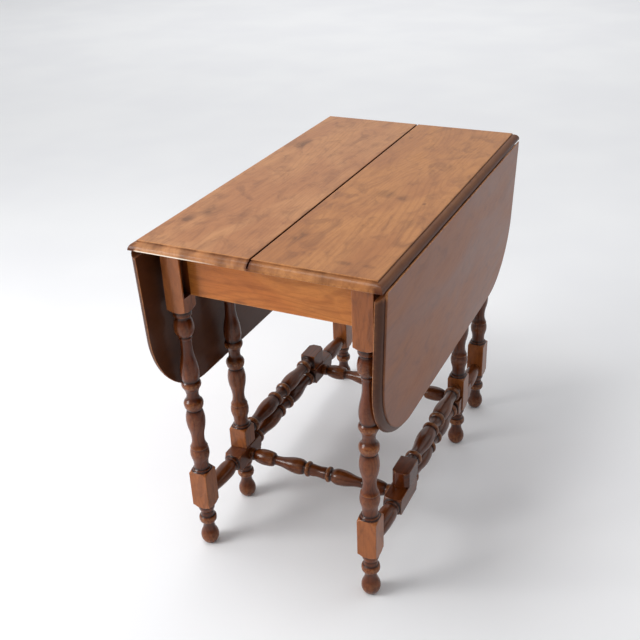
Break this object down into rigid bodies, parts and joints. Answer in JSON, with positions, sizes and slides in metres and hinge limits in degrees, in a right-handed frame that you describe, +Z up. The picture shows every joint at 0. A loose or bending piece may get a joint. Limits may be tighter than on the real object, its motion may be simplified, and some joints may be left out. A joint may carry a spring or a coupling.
{
  "type": "drop leaf table",
  "caption": "Oblong wooden gate-leg table with round-cornered drop leaves hung on rule joints, turned legs and stretchers, and swinging gates that carry the raised leaves.",
  "frame": {"origin": "middle of the table's footprint, on the floor", "axes": "+Z up, +Y along the table's length towards its back end, +X across it towards the right leaf"},
  "size_m": [0.5158, 0.883, 0.762],
  "materials": {
    "frame_wood": "gloss",
    "apron_wood": "satin",
    "top_wood": "gloss",
    "leaf_wood": "satin",
    "hinge_iron": "matte"
  },
  "bodies": {
    "frame": {"corner_leg_front_left": "frame_wood", "corner_leg_front_right": "frame_wood", "cross_stretcher_front": "frame_wood", "end_apron_front": "apron_wood", "corner_leg_back_left": "frame_wood", "corner_leg_back_right": "frame_wood", "cross_stretcher_back": "frame_wood", "end_apron_back": "apron_wood", "side_stretcher_left": "frame_wood", "side_apron_left": "apron_wood", "top_board_left": "top_wood", "hinge_plates_top_left": "hinge_iron", "hinge_screws_top_left": "hinge_iron", "hinge_pins_left": "hinge_iron", "side_stretcher_right": "frame_wood", "side_apron_right": "apron_wood", "top_board_right": "top_wood", "hinge_plates_top_right": "hinge_iron", "hinge_screws_top_right": "hinge_iron", "hinge_pins_right": "hinge_iron", "stretcher_pegs": "frame_wood", "gate_pivot_pins_lower": "frame_wood", "gate_pivot_pins_upper": "frame_wood", "corner_blocks": "apron_wood", "block_screws": "hinge_iron"},
    "leaf_left": {"leaf_left": "leaf_wood", "hinge_plates_leaf_left": "hinge_iron", "hinge_screws_leaf_left": "hinge_iron"},
    "leaf_right": {"leaf_right": "leaf_wood", "hinge_plates_leaf_right": "hinge_iron", "hinge_screws_leaf_right": "hinge_iron"},
    "gate_left": {"gate_leg_left": "frame_wood", "gate_lower_rail_left": "frame_wood", "gate_upper_rail_left": "frame_wood"},
    "gate_right": {"gate_leg_right": "frame_wood", "gate_lower_rail_right": "frame_wood", "gate_upper_rail_right": "frame_wood"}
  },
  "joints": [
    {"name": "leaf_left_hinge", "type": "hinge", "parent": "frame", "child": "leaf_left", "pos_m": [-0.2405, 0, 0.7445], "axis": [0, 1, 0], "range_deg": [0, 92]},
    {"name": "leaf_right_hinge", "type": "hinge", "parent": "frame", "child": "leaf_right", "pos_m": [0.2405, 0, 0.7445], "axis": [0, -1, 0], "range_deg": [0, 92]},
    {"name": "gate_left_pivot", "type": "hinge", "parent": "frame", "child": "gate_left", "pos_m": [-0.2, 0.197, 0.4], "axis": [0, 0, -1], "range_deg": [0, 1]},
    {"name": "gate_right_pivot", "type": "hinge", "parent": "frame", "child": "gate_right", "pos_m": [0.2, -0.197, 0.4], "axis": [0, 0, -1], "range_deg": [0, 1]}
  ]
}
